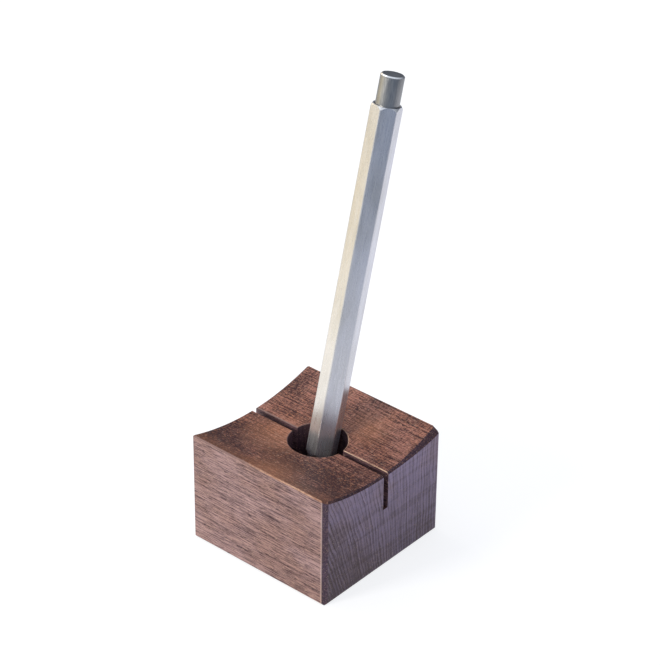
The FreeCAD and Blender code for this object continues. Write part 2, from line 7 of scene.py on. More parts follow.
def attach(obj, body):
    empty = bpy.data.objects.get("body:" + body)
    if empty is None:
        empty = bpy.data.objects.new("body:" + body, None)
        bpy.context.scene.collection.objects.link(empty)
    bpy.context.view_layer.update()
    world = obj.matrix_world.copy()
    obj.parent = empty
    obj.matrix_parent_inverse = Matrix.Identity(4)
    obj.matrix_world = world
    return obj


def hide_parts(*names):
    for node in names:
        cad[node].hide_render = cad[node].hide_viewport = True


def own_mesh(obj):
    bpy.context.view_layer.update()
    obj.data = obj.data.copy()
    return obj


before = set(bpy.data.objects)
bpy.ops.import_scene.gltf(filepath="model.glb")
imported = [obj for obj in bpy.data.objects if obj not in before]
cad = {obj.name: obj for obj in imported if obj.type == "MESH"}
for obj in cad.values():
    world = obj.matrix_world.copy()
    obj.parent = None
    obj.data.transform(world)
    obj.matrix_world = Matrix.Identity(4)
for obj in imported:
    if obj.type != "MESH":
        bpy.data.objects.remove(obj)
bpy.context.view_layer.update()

# ----------------------------------------------------------------------------------------------
# The block: one piece of close-grained hardwood, sawn square, with the grain running from end to
# end. Its top is hollowed on a sanding drum, its edges are planed off, and it is stained and oiled.
# ----------------------------------------------------------------------------------------------

MM = 0.001
BLOCK_LENGTH = 50.0 * MM
BLOCK_DEPTH = 49.6 * MM
BLOCK_HEIGHT = 35.4 * MM
HOLLOW_DEPTH = 3.9 * MM
DRUM_RADIUS = ((BLOCK_DEPTH / 2) ** 2 + HOLLOW_DEPTH ** 2) / (2 * HOLLOW_DEPTH)
HOLLOW_LEVEL = BLOCK_HEIGHT - HOLLOW_DEPTH
BARE_EDGE = 0.5 * MM
FRONT_EDGE = 0.42 * MM
CORNER_FLAT = 1.3 * MM
END_EDGE = 0.62 * MM
END_EDGE_AT_BACK = 1.6 * MM

# Places closer than NEAR count as one place. A direction counts as lying along an axis when more
# than STRAIGHT of its unit length does.
NEAR = 0.01 * MM
STRAIGHT = 0.9


def pick_up(piece):
    """Leaves one piece selected and active."""
    bpy.ops.object.select_all(action="DESELECT")
    piece.select_set(True)
    bpy.context.view_layer.objects.active = piece


def name_new(name):
    """Names the piece that was just added, and fixes its place in its mesh."""
    piece = bpy.context.object
    piece.name = name
    piece.data.name = name
    pick_up(piece)
    bpy.ops.object.transform_apply(location=True, rotation=True, scale=True)
    return piece


def apply_modifier(piece, kind, **settings):
    pick_up(piece)
    modifier = piece.modifiers.new(kind.lower(), kind)
    for setting, value in settings.items():
        setattr(modifier, setting, value)
    bpy.ops.object.modifier_apply(modifier=modifier.name)


def cut_away(piece, cutter, operation="DIFFERENCE"):
    """Cuts a piece with a tool, which is then gone."""
    apply_modifier(piece, "BOOLEAN", operation=operation, solver="EXACT", object=cutter)
    bpy.data.objects.remove(cutter)


def ease_edges(piece, width_at, segments=1, material=-1):
    """Bevels every sharp edge by the width that width_at gives for its middle and direction."""
    mesh = bmesh.new()
    mesh.from_mesh(piece.data)
    weight = mesh.edges.layers.float.get("bevel_weight_edge")
    weight = weight or mesh.edges.layers.float.new("bevel_weight_edge")
    widths = {}
    for edge in mesh.edges:
        start, end = (corner.co for corner in edge.verts)
        sharp = edge.calc_face_angle(0) > math.radians(20)
        direction = (end - start).normalized()
        widths[edge] = width_at((start + end) / 2, direction) if sharp else 0
    widest = max(widths.values())
    for edge, width in widths.items():
        edge[weight] = width / widest
    mesh.to_mesh(piece.data)
    mesh.free()
    apply_modifier(piece, "BEVEL", limit_method="WEIGHT", width=widest, segments=segments,
                   material=material, loop_slide=False, use_clamp_overlap=False)


def lower_edge_width(middle, direction):
    """What was planed off the upright and bottom edges: most at the corner on the front right."""
    if middle.z > BLOCK_HEIGHT:
        return 0
    front_right = middle.x > 0 > middle.y
    return CORNER_FLAT if front_right and abs(direction.z) > STRAIGHT else BARE_EDGE


def upper_edge_width(middle, direction):
    """What was planed off round the hollow: most at the back of the right end."""
    if middle.z < HOLLOW_LEVEL - NEAR or abs(direction.z) > STRAIGHT:
        return 0
    if abs(direction.x) > STRAIGHT and middle.y < 0:
        return FRONT_EDGE
    if middle.x < BLOCK_LENGTH / 2 - CORNER_FLAT or abs(direction.x) > STRAIGHT:
        return BARE_EDGE
    toward_back = min(max((middle.y - 3 * MM) / (BLOCK_DEPTH / 2 - 6 * MM), 0), 1)
    return END_EDGE + (END_EDGE_AT_BACK - END_EDGE) * toward_back ** 1.5


BLANK_HEIGHT = BLOCK_HEIGHT + 1 * MM
bpy.ops.mesh.primitive_cube_add(
    size=1, location=(0, 0, BLANK_HEIGHT / 2), scale=(BLOCK_LENGTH, BLOCK_DEPTH, BLANK_HEIGHT))
block = name_new("wooden_block")
# The slot and hole walls get a darker wood as painted shade, and the rubbed edges a pale wood of
# wear and painted highlight.
OILED_WOOD, PLANED_EDGE, EDGE_WEAR_AND_HIGHLIGHT, CUT_WALL_SHADE = range(4)
for slot_name in ("oiled_wood", "planed_edge", "edge_wear_and_highlight", "cut_wall_shade"):
    block.data.materials.append(bpy.data.materials.new(slot_name))
ease_edges(block, lower_edge_width, material=PLANED_EDGE)
bpy.ops.mesh.primitive_cylinder_add(
    vertices=480, radius=DRUM_RADIUS, depth=BLOCK_LENGTH * 1.5,
    location=(0, 0, HOLLOW_LEVEL + DRUM_RADIUS), rotation=(0, math.pi / 2, 0))
cut_away(block, name_new("sanding_drum"))
ease_edges(block, upper_edge_width, material=PLANED_EDGE)

# The pen hole is drilled from the hollow, with a narrow pilot hole for the pen's snout in its
# floor, and its rim is broken with a countersink.

HOLE_RADIUS = 8.7 * MM
HOLE_X = -0.3 * MM
HOLE_Y = 1.03 * MM
HOLE_FLOOR = 18.3 * MM
PILOT_RADIUS = 2.61 * MM
PILOT_FLOOR = 10.37 * MM
RIM_EDGE = 0.2 * MM


def drill(piece, radius, bottom, top, sides):
    bpy.ops.mesh.primitive_cylinder_add(
        vertices=sides, radius=radius, depth=top - bottom,
        location=(HOLE_X, HOLE_Y, (top + bottom) / 2))
    cut_away(piece, name_new("drill"))


def rim_width(middle, direction):
    from_centre = math.hypot(middle.x - HOLE_X, middle.y - HOLE_Y)
    at_mouth = abs(from_centre - HOLE_RADIUS) < 0.05 * MM and middle.z > HOLLOW_LEVEL - 0.1 * MM
    return RIM_EDGE if at_mouth else 0


drill(block, HOLE_RADIUS, HOLE_FLOOR, BLOCK_HEIGHT, 128)
# The broken rim takes the pale edge wood: wear with a painted highlight.
ease_edges(block, rim_width, segments=2, material=EDGE_WEAR_AND_HIGHLIGHT)
drill(block, PILOT_RADIUS, PILOT_FLOOR, HOLE_FLOOR + 1 * MM, 64)

# The card slot is one pass of a circular saw, right across the block through the middle of the
# hole. Cards and handling have rubbed its two edges and the top's front and back edges, which are
# pale with that wear and a painted highlight.

SLOT_WIDTH = 2.0 * MM
SLOT_FLOOR = 19.75 * MM
SLOT_EDGE = 0.2 * MM

bpy.ops.mesh.primitive_cube_add(
    size=1, location=(0, HOLE_Y, (SLOT_FLOOR + HOLLOW_LEVEL - SLOT_EDGE) / 2),
    scale=(BLOCK_LENGTH * 1.2, SLOT_WIDTH, HOLLOW_LEVEL - SLOT_EDGE - SLOT_FLOOR))
saw = name_new("saw")
bpy.ops.object.mode_set(mode="EDIT")
bpy.ops.mesh.select_all(action="DESELECT")
bpy.ops.mesh.select_mode(type="FACE")
saw_mesh = bmesh.from_edit_mesh(saw.data)
for face in saw_mesh.faces:
    face.select = face.normal.z > STRAIGHT
bmesh.update_edit_mesh(saw.data)
widening = 1 + 4 * SLOT_EDGE / SLOT_WIDTH
bpy.ops.mesh.extrude_region_move(TRANSFORM_OT_translate={"value": (0, 0, 2 * SLOT_EDGE)})
bpy.ops.transform.resize(value=(1, widening, 1), center_override=(0, HOLE_Y, 0))
bpy.ops.mesh.extrude_region_move(TRANSFORM_OT_translate={"value": (0, 0, HOLLOW_DEPTH)})
bpy.ops.object.mode_set(mode="OBJECT")
cut_away(block, saw)


def shade_wear_and_highlight(face):
    """A face's material: darker cut wood in the slot and hole as painted shade, and pale wood where
    an edge is rubbed, with a painted highlight.
    """
    from_middle = abs(face.center.y - HOLE_Y)
    from_centre = math.hypot(face.center.x - HOLE_X, face.center.y - HOLE_Y)
    # The slot's and hole's walls take the darker wood, a painted shade.
    if from_middle < SLOT_WIDTH / 2 + NEAR and face.center.z < HOLLOW_LEVEL:
        on_floor = face.normal.z > STRAIGHT and face.center.z < SLOT_FLOOR + NEAR
        if abs(face.normal.y) > STRAIGHT or on_floor:
            return CUT_WALL_SHADE
    elif from_centre < HOLE_RADIUS + NEAR:
        return CUT_WALL_SHADE
    # Pale edge wood here and along the top's edges below: wear with a painted highlight.
    elif 0.3 < face.normal.z < 0.95 and from_middle < SLOT_WIDTH / 2 + SLOT_EDGE * 1.5:
        return EDGE_WEAR_AND_HIGHLIGHT
    along_the_top = abs(face.normal.x) < 0.3 and face.center.z > HOLLOW_LEVEL
    if face.material_index == PLANED_EDGE and along_the_top:
        return EDGE_WEAR_AND_HIGHLIGHT
    return face.material_index


for face in block.data.polygons:
    face.material_index = shade_wear_and_highlight(face)
pick_up(block)
bpy.ops.object.shade_smooth_by_angle(angle=math.radians(20))


def screen_colour(red, green, blue):
    """A colour for a socket, from the values from 0 to 255 that a screen shows it with."""
    parts = [value / 255 for value in (red, green, blue)]
    linear = [p / 12.92 if p <= 0.04045 else ((p + 0.055) / 1.055) ** 2.4 for p in parts]
    return (*linear, 1)


def feed(tree, node, sockets):
    """Gives each named socket of a node a plain value, or another node's output."""
    for name, value in sockets.items():
        if isinstance(value, bpy.types.NodeSocket):
            tree.links.new(value, node.inputs[name])
        else:
            node.inputs[name].default_value = value


def add_node(tree, kind, sockets=None, **settings):
    """Adds a shader node with its settings and sockets."""
    node = tree.nodes.new("ShaderNode" + kind)
    for setting, value in settings.items():
        setattr(node, setting, value)
    feed(tree, node, sockets or {})
    return node


def compute(tree, operation, first, second=0.0, third=0.0):
    """What one sum comes to, worked out by a Math node."""
    return add_node(tree, "Math", {0: first, 1: second, 2: third}, operation=operation).outputs[0]


def grade(tree, value, low, high, to_low=0.0, to_high=1.0):
    """Spreads the part of a value between low and high over another range, and stops there."""
    return add_node(tree, "MapRange", {
        "Value": value, "From Min": low, "From Max": high, "To Min": to_low, "To Max": to_high,
    }).outputs["Result"]


def blend_colours(tree, amount, first, second, how="MIX"):
    """Mixes two colours. A Mix node takes them at its inputs 6 and 7, and gives one at output 2."""
    sockets = {0: amount, 6: first, 7: second}
    return add_node(tree, "Mix", sockets, data_type="RGBA", blend_type=how).outputs[2]


def speckle(tree, coordinates, stretch, scale, detail=3.0, roughness=0.55):
    """Noise whose grains are stretched along each axis by the given amounts."""
    squeezed = add_node(tree, "VectorMath", {
        0: coordinates, 1: tuple(1 / amount for amount in stretch)}, operation="MULTIPLY")
    return add_node(tree, "TexNoise", {
        "Vector": squeezed.outputs[0], "Scale": scale, "Detail": detail, "Roughness": roughness,
    }).outputs["Fac"]


def new_group(name, inputs, outputs):
    """An empty node group with named sockets, and the nodes that stand for them inside it."""
    group = bpy.data.node_groups.new(name, "ShaderNodeTree")
    for label, kind, value in inputs:
        socket = group.interface.new_socket(label, in_out="INPUT", socket_type="NodeSocket" + kind)
        if value is not None:
            socket.default_value = value
    for label, kind in outputs:
        group.interface.new_socket(label, in_out="OUTPUT", socket_type="NodeSocket" + kind)
    entry = group.nodes.new("NodeGroupInput").outputs
    leaving = group.nodes.new("NodeGroupOutput").inputs
    return group, entry, leaving


def place_group(tree, group, sockets):
    return add_node(tree, "Group", sockets, node_tree=group).outputs


def in_millimetres(tree, place):
    return add_node(tree, "VectorMath", {0: place, "Scale": 1 / MM}, operation="SCALE").outputs[0]


def start_material(material):
    """Empties a material down to its surface shader. Gives that, and each point's place, back."""
    material.use_nodes = True
    tree = material.node_tree
    tree.nodes.clear()
    surface = add_node(tree, "BsdfPrincipled")
    add_node(tree, "OutputMaterial", {"Surface": surface.outputs[0]})
    place = add_node(tree, "TexCoord").outputs["Object"]
    return tree, surface, place


# The wood's figure, in millimetres. The growth rings cross the ends as steep lines that lean at the
# front and straighten toward the back, and the other faces show long streaks.
RING_SPACING = 1.3
RING_LEAN = 0.36
MID_HEIGHT = BLOCK_HEIGHT / MM / 2

figure, entry, leaving = new_group(
    "wood_figure",
    [("Place", "Vector", None)],
    [("Rings", "Float"), ("Rays", "Float"), ("End Lines", "Float"), ("Fibres", "Float"),
     ("Pores", "Float"), ("Bands", "Float"), ("Clouds", "Float"), ("Speckle", "Float"),
     ("Drum Scratches", "Float"), ("Nicks", "Float"), ("Across", "Float"), ("Along", "Float"),
     ("Height", "Float")])
spot = in_millimetres(figure, entry["Place"])
centred = add_node(figure, "SeparateXYZ", {0: spot}).outputs
lean = grade(figure, centred["Y"], -20.0, 15.0, RING_LEAN, 0.0)
above_middle = compute(figure, "SUBTRACT", centred["Z"], MID_HEIGHT)
ring_place = compute(figure, "MULTIPLY_ADD", lean, above_middle, centred["Y"])
wander = speckle(figure, spot, (6, 1, 2.5), 0.22, detail=3)
ring_place = compute(figure, "MULTIPLY_ADD", wander, 2.0, ring_place)
season = compute(figure, "FRACT", compute(figure, "DIVIDE", ring_place, RING_SPACING))
growth = add_node(figure, "ValToRGB", {"Fac": season})
growth.color_ramp.interpolation = "EASE"
for position, darkness in (
        (0.0, 0.7), (0.12, 0.0), (0.45, 0.15), (0.7, 0.4), (0.9, 1.0), (1.0, 0.7)):
    stop = growth.color_ramp.elements.new(position)
    stop.color = (darkness, darkness, darkness, 1)
growth.color_ramp.elements.remove(growth.color_ramp.elements[0])
growth.color_ramp.elements.remove(growth.color_ramp.elements[-1])
unbent = add_node(figure, "CombineXYZ", {
    "X": centred["X"], "Y": ring_place, "Z": centred["Z"]}).outputs[0]
for label, value in (
        ("Rings", growth.outputs["Color"]),
        ("Rays", speckle(figure, unbent, (1.5, 30, 1), 0.55, detail=2, roughness=0.7)),
        ("End Lines", speckle(figure, unbent, (1.5, 1, 22), 1.9, detail=3, roughness=0.7)),
        ("Fibres", speckle(figure, spot, (26, 1, 1), 2.9, detail=4, roughness=0.70)),
        ("Pores", speckle(figure, spot, (12, 1, 1), 5.6, detail=2, roughness=0.65)),
        ("Bands", speckle(figure, spot, (34, 1, 1), 1.7, detail=4, roughness=0.62)),
        ("Clouds", speckle(figure, spot, (1.7, 1, 1), 0.10, detail=3)),
        ("Speckle", speckle(figure, spot, (1.8, 1, 1), 2.6, detail=3, roughness=0.72)),
        ("Drum Scratches", speckle(figure, spot, (1, 26, 6), 2.6, detail=3, roughness=0.66)),
        ("Nicks", speckle(figure, spot, (3, 1, 1), 2.6, detail=3, roughness=0.7)),
        ("Across", centred["Y"]), ("Along", centred["X"]), ("Height", centred["Z"])):
    figure.links.new(value, leaving[label])


def weigh(tree, *parts):
    """Adds up masks, each times its weight."""
    total = 0.0
    for mask, weight in parts:
        total = compute(tree, "MULTIPLY_ADD", mask, weight, total)
    return total


# The stain's tints, and its patches on top: each one's middle along and across, and its reach.
DARK_TOP = screen_colour(54, 20, 20)
GOLD = screen_colour(206, 142, 104)
OCHRE = screen_colour(158, 104, 72)
AGED_OIL = screen_colour(255, 240, 214)
RUBBED_ARRIS = screen_colour(214, 186, 176)
BARE_NICK = screen_colour(222, 186, 160)
# A warm tint that takes the ends' painted cool shade off the left end, which faces the lamps.
LIT_END_WARMTH = screen_colour(215, 194, 174)
GOLDEN_PATCHES = ((-10.0, -5.0, 13.0), (2.0, -22.0, 11.0), (8.0, 14.0, 9.0))
DARK_PATCHES = ((-19.0, -17.0, 15.0), (1.0, -14.0, 9.0), (19.0, -14.0, 17.0), (-22.0, 19.0, 12.0),
                (22.0, 1.0, 8.0))


def blot(tree, place, spots):
    """How far each place on top lies within soft round patches."""
    cover = 0.0
    for middle_x, middle_y, reach in spots:
        away = add_node(tree, "VectorMath", {
            0: place, 1: (middle_x * MM, middle_y * MM, HOLLOW_LEVEL)}, operation="DISTANCE")
        cover = compute(tree, "ADD", cover, grade(
            tree, away.outputs["Value"], reach * MM, reach * MM * 0.25))
    return cover


def stain(material, side, top, end, dark, roughness, dark_top=DARK_TOP, strength=1.0, edge_past_highlight=None):
    """Stained, oiled wood. The stain comes out paler on the sides, redder on top and bluer on ends,
    partly as painted light: the paler sides carry a painted sheen and the bluer ends a painted cool
    shade.

    Along and Across are in millimetres from the block's middle, and Height is from its underside.
    """
    tree, surface, place = start_material(material)
    wood = place_group(tree, figure, {"Place": place})
    normal = add_node(tree, "NewGeometry").outputs["Normal"]
    facing = add_node(tree, "SeparateXYZ", {0: normal}).outputs
    is_end = grade(tree, compute(tree, "ABSOLUTE", facing["X"]), 0.75, 0.95)
    is_top = grade(tree, facing["Z"], 0.5, 0.85)
    is_side = compute(tree, "SUBTRACT", compute(tree, "SUBTRACT", 1.0, is_end), is_top)
    fibres = grade(tree, wood["Fibres"], 0.56, 0.42)
    pores = grade(tree, wood["Pores"], 0.47, 0.38)
    bands = grade(tree, wood["Bands"], 0.50, 0.38)
    clouds = grade(tree, wood["Clouds"], 0.40, 0.60)
    grains = grade(tree, wood["Speckle"], 0.57, 0.42)
    scratches = grade(tree, wood["Drum Scratches"], 0.55, 0.41)
    nicks = grade(tree, wood["Nicks"], 0.58, 0.68)
    # The top darkens toward the front: painted shade where the hollow tilts away from the lamps.
    painted_front_shade = grade(tree, wood["Across"], -2.0, -11.0)
    patches, golden = (blot(tree, place, spots) for spots in (DARK_PATCHES, GOLDEN_PATCHES))
    on_side = weigh(tree, (fibres, 0.60), (pores, 0.50), (bands, 0.26), (clouds, 0.14))
    on_top = weigh(tree, (fibres, 0.46), (pores, 0.32), (grains, 0.32), (scratches, 0.26),
                   (bands, 0.34), (clouds, 0.16), (patches, 0.22), (painted_front_shade, 0.26))
    # On the ends, the darkening toward the bottom (Height) is painted shade.
    on_end = weigh(tree, (wood["Rings"], 0.36), (grade(tree, wood["Rays"], 0.52, 0.38), 0.15),
                   (grade(tree, wood["End Lines"], 0.54, 0.42), 0.26),
                   (grade(tree, wood["Height"], 32.0, 2.0), 0.54),
                   (grade(tree, wood["Across"], 2.0, -22.0), 0.24))
    darkness = compute(tree, "MULTIPLY", on_side, is_side)
    darkness = compute(tree, "MULTIPLY_ADD", on_top, is_top, darkness)
    darkness = compute(tree, "MULTIPLY_ADD", on_end, is_end, darkness)
    darkness = compute(tree, "MULTIPLY", darkness, strength)
    colour = blend_colours(tree, is_top, side, top)
    colour = blend_colours(tree, is_end, colour, end)
    darkest = blend_colours(tree, is_top, dark, dark_top)
    colour = blend_colours(tree, darkness, colour, darkest)
    near_front = compute(tree, "MULTIPLY", grade(tree, wood["Across"], -19.0, -23.5), is_top)
    arris = compute(tree, "MULTIPLY", grade(tree, wood["Along"], 23.3, 23.65), is_side)
    arris = compute(tree, "MULTIPLY", arris, grade(tree, wood["Across"], -24.6, -24.75))
    flecks = compute(tree, "MULTIPLY", grade(tree, wood["Speckle"], 0.55, 0.68), is_top)
    golden = compute(tree, "MULTIPLY", golden, is_top)
    # The ends carry a painted cool shade; a warm tint takes it off the left end, which faces the
    # lamps.
    is_left = grade(tree, facing["X"], -0.75, -0.95)
    warm = grade(tree, wood["Clouds"], 0.42, 0.62)
    for mask, weight, tint, how in (
            (near_front, 0.30, OCHRE, "MIX"), (arris, 0.60, RUBBED_ARRIS, "MIX"),
            (flecks, 0.60, GOLD, "MIX"), (golden, 0.28, GOLD, "MIX"),
            (is_left, 1.0, LIT_END_WARMTH, "MULTIPLY"), (warm, 0.50, AGED_OIL, "MULTIPLY"),
            (nicks, 0.34, BARE_NICK, "MIX")):
        colour = blend_colours(tree, compute(tree, "MULTIPLY", mask, weight), colour, tint, how)
    # The painted highlight on the edges fades out to a darker colour toward the left.
    if edge_past_highlight:
        ragged = compute(tree, "MULTIPLY_ADD", wood["Speckle"], 26.0, wood["Along"])
        colour = blend_colours(tree, grade(tree, ragged, 6.0, 19.0), edge_past_highlight, colour)
    relief = weigh(tree, (wood["Fibres"], 0.6), (wood["Pores"], 1.0),
                   (compute(tree, "MULTIPLY", wood["Drum Scratches"], is_top), 1.0))
    bump = add_node(tree, "Bump", {"Strength": 0.5, "Distance": 0.06 * MM, "Height": relief})
    feed(tree, surface, {
        "Base Color": colour,
        "Roughness": grade(tree, wood["Pores"], 0.3, 0.7, roughness + 0.1, roughness - 0.06),
        "Specular IOR Level": 0.36,
        "Normal": bump.outputs[0],
    })


woods = block.data.materials
# The paler side colour holds a painted sheen, and the bluer end colour a painted cool shade.
stain(woods[OILED_WOOD], side=screen_colour(180, 145, 139), top=screen_colour(196, 134, 114),
      end=screen_colour(162, 142, 168), dark=screen_colour(60, 34, 42), roughness=0.46)
stain(woods[PLANED_EDGE], side=screen_colour(92, 68, 84), top=screen_colour(72, 50, 62),
      end=screen_colour(76, 62, 80), dark=screen_colour(38, 22, 38), roughness=0.42, strength=0.9)
# Pale edge wood: wear with a painted highlight.
stain(woods[EDGE_WEAR_AND_HIGHLIGHT], side=screen_colour(240, 208, 178), top=screen_colour(232, 196, 166),
      end=screen_colour(190, 156, 136), dark=screen_colour(140, 98, 78), roughness=0.5,
      dark_top=screen_colour(140, 98, 80), strength=0.9, edge_past_highlight=screen_colour(132, 102, 94))
# The slot and hole walls are stained darker as painted shade.
stain(woods[CUT_WALL_SHADE], side=screen_colour(120, 90, 96), top=screen_colour(76, 50, 52),
      end=screen_colour(84, 60, 70), dark=screen_colour(38, 20, 28), roughness=0.5)
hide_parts("stand_block")
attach(block, "stand")

# ----------------------------------------------------------------------------------------------
# The barrel: hexagonal stainless bar, drilled through in two steps, its ends chamfered on a lathe
# so that each flat ends in an arc. It is brushed lengthways to a satin finish.
# ----------------------------------------------------------------------------------------------

HEX_FLATS = 8.0 * MM
HEX_CORNER = HEX_FLATS / 2 / math.cos(math.radians(30))
HEX_TURN = math.radians(47.1)
HEX_ROUNDING = 0.6 * MM
BARREL_FOOT = 9.55 * MM
BARREL_TOP = 114.4 * MM
END_FACE_RADIUS = 4.035 * MM
END_CHAMFER = math.tan(math.radians(60))
BORE_RADIUS = 3.5 * MM
BORE_STEP = 89.55 * MM
LOWER_BORE_RADIUS = 3.25 * MM
MOUTH_EDGE = 0.15 * MM
SNOUT_END = Vector((-1.0978, 0.9817, 16.3272)) * MM
PEN_TILT = Euler((math.radians(-14.1779), 0, math.radians(-0.9)))


def lean_into_hole(piece):
    """Takes a piece that was made upright at the origin to its place in the hole."""
    pick_up(piece)
    piece.rotation_euler = PEN_TILT
    piece.location = SNOUT_END
    bpy.ops.object.transform_apply(location=True, rotation=True, scale=True)


def turn_profile(name, outline, sides=96, ring=False):
    """Turns an outline of (radius, height) points. A ring's outline ends where it began."""
    (radius, height), *others = outline
    bpy.ops.mesh.primitive_circle_add(vertices=sides, radius=radius, location=(0, 0, height))
    piece = name_new(name)
    bpy.ops.object.mode_set(mode="EDIT")
    bpy.ops.mesh.select_mode(type="VERT")
    bpy.ops.mesh.select_all(action="SELECT")
    if not ring:
        bpy.ops.mesh.edge_face_add()
    for next_radius, next_height in others + ([outline[0]] if ring else []):
        bpy.ops.mesh.extrude_region_move(
            TRANSFORM_OT_translate={"value": (0, 0, next_height - height)})
        scale = next_radius / radius
        bpy.ops.transform.resize(value=(scale, scale, 1), center_override=(0, 0, next_height))
        radius, height = next_radius, next_height
    bpy.ops.mesh.select_all(action="SELECT")
    bpy.ops.mesh.remove_doubles(threshold=0.001 * MM)
    bpy.ops.mesh.normals_make_consistent(inside=False)
    bpy.ops.object.mode_set(mode="OBJECT")
    return piece


bpy.ops.mesh.primitive_cylinder_add(
    vertices=6, radius=HEX_CORNER, depth=BARREL_TOP - BARREL_FOOT,
    location=(0, 0, (BARREL_TOP + BARREL_FOOT) / 2), rotation=(0, 0, HEX_TURN - math.pi / 2))
barrel = name_new("hexagonal_barrel")
CORNER_REACH = HEX_ROUNDING * math.tan(math.radians(30))
ease_edges(
    barrel, lambda middle, direction: CORNER_REACH if abs(direction.z) > STRAIGHT else 0,
    segments=6)

WIDE = HEX_CORNER + 1 * MM
CHAMFER_FALL = (WIDE - END_FACE_RADIUS) * END_CHAMFER
cut_away(barrel, turn_profile("turned_ends", [
    (END_FACE_RADIUS, BARREL_FOOT),
    (WIDE, BARREL_FOOT + CHAMFER_FALL),
    (WIDE, BARREL_TOP - CHAMFER_FALL),
    (END_FACE_RADIUS, BARREL_TOP)], sides=192), "INTERSECT")
cut_away(barrel, turn_profile("bore", [
    (LOWER_BORE_RADIUS, BARREL_FOOT - 1 * MM),
    (LOWER_BORE_RADIUS, BORE_STEP),
    (BORE_RADIUS, BORE_STEP),
    (BORE_RADIUS, BARREL_TOP - MOUTH_EDGE),
    (BORE_RADIUS + MOUTH_EDGE, BARREL_TOP),
    (BORE_RADIUS + MOUTH_EDGE, BARREL_TOP + 1 * MM)]))
bpy.ops.object.shade_smooth_by_angle(angle=math.radians(20))
turned_faces = [
    face.index for face in barrel.data.polygons
    if 0.3 < abs(face.normal.z) < STRAIGHT and face.center.xy.length > END_FACE_RADIUS - 0.1 * MM]
lean_into_hole(barrel)

# Brushed and turned metal: fine lines along the pen or round it, and the smudges of handling.
LINE_DEPTH = 0.04 * MM
brushing, entry, leaving = new_group(
    "brushed_metal",
    [("Place", "Vector", None), ("Line Length", "Float", 30.0), ("Line Scale", "Float", 6.0)],
    [("Lines", "Float"), ("Smudges", "Float"), ("Pits", "Float")])
spot = in_millimetres(brushing, entry["Place"])
axes = add_node(brushing, "SeparateXYZ", {0: spot}).outputs
along = compute(brushing, "DIVIDE", axes["Z"], entry["Line Length"])
drawn_out = add_node(brushing, "CombineXYZ", {"X": axes["X"], "Y": axes["Y"], "Z": along})
lines = add_node(brushing, "TexNoise", {
    "Vector": drawn_out.outputs[0], "Scale": entry["Line Scale"], "Detail": 3.0,
    "Roughness": 0.65})
brushing.links.new(lines.outputs["Fac"], leaving["Lines"])
brushing.links.new(speckle(brushing, spot, (1, 1, 3.5), 0.22, detail=3), leaving["Smudges"])
pits = add_node(brushing, "TexVoronoi", {"Vector": spot, "Scale": 1.1, "Randomness": 1.0})
brushing.links.new(grade(brushing, pits.outputs["Distance"], 0.10, 0.04), leaving["Pits"])


def polish(name, colour, dull, roughness, line_length, line_scale, lined=0.25, pitted=0.0,
           metallic=1.0):
    """A metal finish whose lines follow the pen's own axis."""
    material = bpy.data.materials.new(name)
    tree, surface, place = start_material(material)
    upright = add_node(tree, "Mapping", {
        "Vector": place, "Location": SNOUT_END, "Rotation": PEN_TILT}, vector_type="TEXTURE")
    metal = place_group(tree, brushing, {
        "Place": upright.outputs[0], "Line Length": line_length, "Line Scale": line_scale})
    shade = blend_colours(tree, grade(tree, metal["Smudges"], 0.35, 0.7), colour, dull)
    shade = blend_colours(tree, grade(tree, metal["Lines"], 0.62, 0.38, 0.0, lined), shade, dull)
    shade = blend_colours(tree, compute(tree, "MULTIPLY", metal["Pits"], pitted), shade,
                          screen_colour(60, 60, 66))
    rough = grade(tree, metal["Lines"], 0.3, 0.7, roughness - 0.06, roughness + 0.08)
    bump = add_node(tree, "Bump", {
        "Strength": 0.5, "Distance": LINE_DEPTH, "Height": metal["Lines"]})
    feed(tree, surface, {
        "Base Color": shade, "Metallic": metallic, "Roughness": rough, "Normal": bump.outputs[0]})
    return material


bright_edge = polish(
    "bright_edge", screen_colour(246, 244, 240), screen_colour(232, 230, 228),
    roughness=0.32, line_length=0.2, line_scale=6.0)
barrel.data.materials.clear()
barrel.data.materials.append(polish(
    "satin_barrel", screen_colour(226, 226, 230), screen_colour(208, 207, 206),
    roughness=0.29, line_length=40.0, line_scale=5.0, lined=0.12, pitted=0.6, metallic=0.88))
barrel.data.materials.append(bright_edge)
for index in turned_faces:
    barrel.data.polygons[index].material_index = 1
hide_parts("hex_barrel")
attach(barrel, "pen")

# ----------------------------------------------------------------------------------------------
# The nose: turned from round bar, with a snout that stands in the pilot hole, a shoulder, a long
# taper that meets the barrel's flats, and a spigot that screws into the barrel.
# ----------------------------------------------------------------------------------------------

POINT_BORE_RADIUS = 1.25 * MM
SNOUT_RADIUS = 1.5 * MM
SNOUT_LENGTH = 3.0 * MM
SNOUT_EDGE = 0.1 * MM
SNOUT_EDGE_HEIGHT = 0.25 * MM
SHOULDER_RADIUS = 2.8 * MM
SHOULDER_EDGE = 0.1 * MM
TAPER_RADIUS = 3.95 * MM
TAPER_TOP = 9.5 * MM
SPIGOT_RADIUS = 3.2 * MM
SPIGOT_TOP = 15.5 * MM
SPRING_CHAMBER_RADIUS = 2.4 * MM
SPRING_CHAMBER_FLOOR = 4.0 * MM

